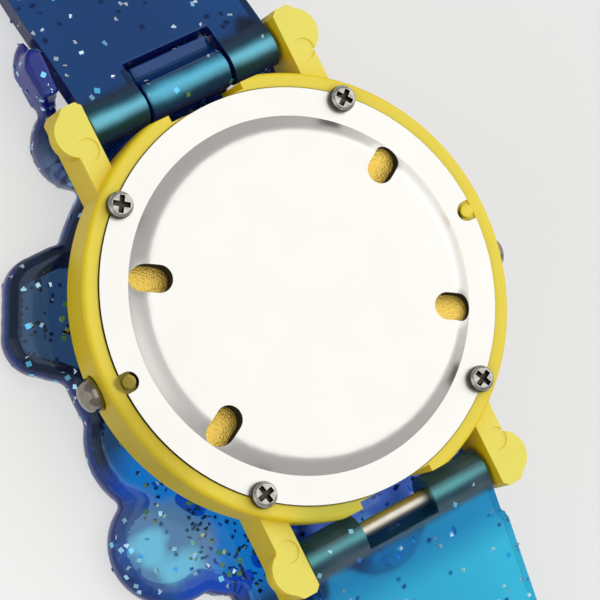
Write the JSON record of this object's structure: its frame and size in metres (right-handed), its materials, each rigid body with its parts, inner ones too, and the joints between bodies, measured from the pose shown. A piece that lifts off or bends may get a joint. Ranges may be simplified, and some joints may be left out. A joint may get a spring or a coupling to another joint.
{
  "type": "toy watch",
  "caption": "Round child's digital watch lying face down, with a lobed flip cover over the dial, vinyl straps on spring bars, side pushers and a screwed back plate.",
  "frame": {"origin": "middle of the outer face of the raised panel on the back plate", "axes": "+Z out of the back of the watch, +Y towards the 12 o'clock strap, +X to the right when looking at the back"},
  "size_m": [0.0422, 0.2082, 0.0119],
  "materials": {
    "yellow_abs": "moulded ABS, slightly worn",
    "blue_glitter_pvc": "translucent moulded vinyl with glitter",
    "satin_steel": "pressed stainless sheet, satin",
    "bright_steel": "turned and polished",
    "spring_steel": "drawn wire",
    "nitrile_rubber": "moulded",
    "sounder_brass": "rolled sheet",
    "white_ceramic": "fired ceramic disc",
    "white_abs": "moulded",
    "green_board": "glass fibre board with solder mask",
    "black_epoxy": "cast resin",
    "cell_steel": "drawn can",
    "display_glass": "polished",
    "silver_film": "metallised film",
    "pink_elastomer": "layered strip",
    "printed_mask": "printed film",
    "clear_acrylic": "moulded clear"
  },
  "bodies": {
    "case": {"case_body": "yellow_abs", "back_plate": "satin_steel", "back_screws": "bright_steel", "back_seal": "nitrile_rubber", "sounder_disc": "sounder_brass", "sounder_ceramic": "white_ceramic", "sounder_contact": "spring_steel", "movement_frame": "white_abs", "circuit_board": "green_board", "chip_cap": "black_epoxy", "quartz_can": "cell_steel", "button_cell": "cell_steel", "cell_clamp": "spring_steel", "switch_leaves": "sounder_brass", "display_glass": "display_glass", "display_reflector": "silver_film", "display_contacts": "pink_elastomer", "dial_mask": "printed_mask", "lens": "clear_acrylic", "left_pusher_spring": "spring_steel", "right_pusher_spring": "spring_steel", "upper_bar": "bright_steel", "upper_left_pin_spring": "spring_steel", "upper_right_pin_spring": "spring_steel", "lower_bar": "bright_steel", "lower_left_pin_spring": "spring_steel", "lower_right_pin_spring": "spring_steel"},
    "cover": {"flip_cover": "blue_glitter_pvc"},
    "upper_strap_body": {"upper_strap": "blue_glitter_pvc"},
    "lower_strap_body": {"lower_strap": "blue_glitter_pvc"},
    "keeper": {"keeper_loop": "blue_glitter_pvc"},
    "buckle": {"buckle_frame": "yellow_abs", "buckle_bar": "bright_steel"},
    "tongue": {"buckle_tongue": "bright_steel"},
    "left_button": {"left_pusher": "bright_steel", "left_pusher_seal": "nitrile_rubber", "left_pusher_clip": "spring_steel"},
    "right_button": {"right_pusher": "bright_steel", "right_pusher_seal": "nitrile_rubber", "right_pusher_clip": "spring_steel"},
    "upper_left_bar_pin": {"upper_left_pin": "bright_steel"},
    "upper_right_bar_pin": {"upper_right_pin": "bright_steel"},
    "lower_left_bar_pin": {"lower_left_pin": "bright_steel"},
    "lower_right_bar_pin": {"lower_right_pin": "bright_steel"}
  },
  "joints": [
    {"name": "cover_hinge", "type": "hinge", "parent": "case", "child": "cover", "pos_m": [0, 0.0199, -0.005], "axis": [1, 0, 0], "range_deg": [0, 70]},
    {"name": "upper_strap_hinge", "type": "hinge", "parent": "case", "child": "upper_strap_body", "pos_m": [0, 0.0199, -0.005], "axis": [1, 0, 0], "range_deg": [-10, 105]},
    {"name": "lower_strap_hinge", "type": "hinge", "parent": "case", "child": "lower_strap_body", "pos_m": [0, -0.0199, -0.005], "axis": [-1, 0, 0], "range_deg": [-10, 100]},
    {"name": "keeper_slide", "type": "slide", "parent": "upper_strap_body", "child": "keeper", "axis": [0, 1, 0], "range_m": [-0.008, 0.006]},
    {"name": "buckle_hinge", "type": "hinge", "parent": "upper_strap_body", "child": "buckle", "pos_m": [0, 0.0819, -0.00945], "axis": [1, 0, 0], "range_deg": [-60, 30]},
    {"name": "tongue_hinge", "type": "hinge", "parent": "buckle", "child": "tongue", "pos_m": [0, 0.0819, -0.00945], "axis": [1, 0, 0], "range_deg": [0, 80]},
    {"name": "left_button_press", "type": "slide", "parent": "case", "child": "left_button", "axis": [0.9998, -0.0175, 0], "range_m": [0, 0.0008], "stiffness_N_per_m": 500, "deforming": ["left_pusher_spring"]},
    {"name": "right_button_press", "type": "slide", "parent": "case", "child": "right_button", "axis": [-0.9744, 0.225, 0], "range_m": [0, 0.0008], "stiffness_N_per_m": 500, "deforming": ["right_pusher_spring"]},
    {"name": "upper_left_pin_slide", "type": "slide", "parent": "case", "child": "upper_left_bar_pin", "axis": [1, 0, 0], "range_m": [0, 0.00125], "stiffness_N_per_m": 400, "deforming": ["upper_left_pin_spring"]},
    {"name": "upper_right_pin_slide", "type": "slide", "parent": "case", "child": "upper_right_bar_pin", "axis": [-1, 0, 0], "range_m": [0, 0.00125], "stiffness_N_per_m": 400, "deforming": ["upper_right_pin_spring"]},
    {"name": "lower_left_pin_slide", "type": "slide", "parent": "case", "child": "lower_left_bar_pin", "axis": [1, 0, 0], "range_m": [0, 0.00125], "stiffness_N_per_m": 400, "deforming": ["lower_left_pin_spring"]},
    {"name": "lower_right_pin_slide", "type": "slide", "parent": "case", "child": "lower_right_bar_pin", "axis": [-1, 0, 0], "range_m": [0, 0.00125], "stiffness_N_per_m": 400, "deforming": ["lower_right_pin_spring"]}
  ]
}
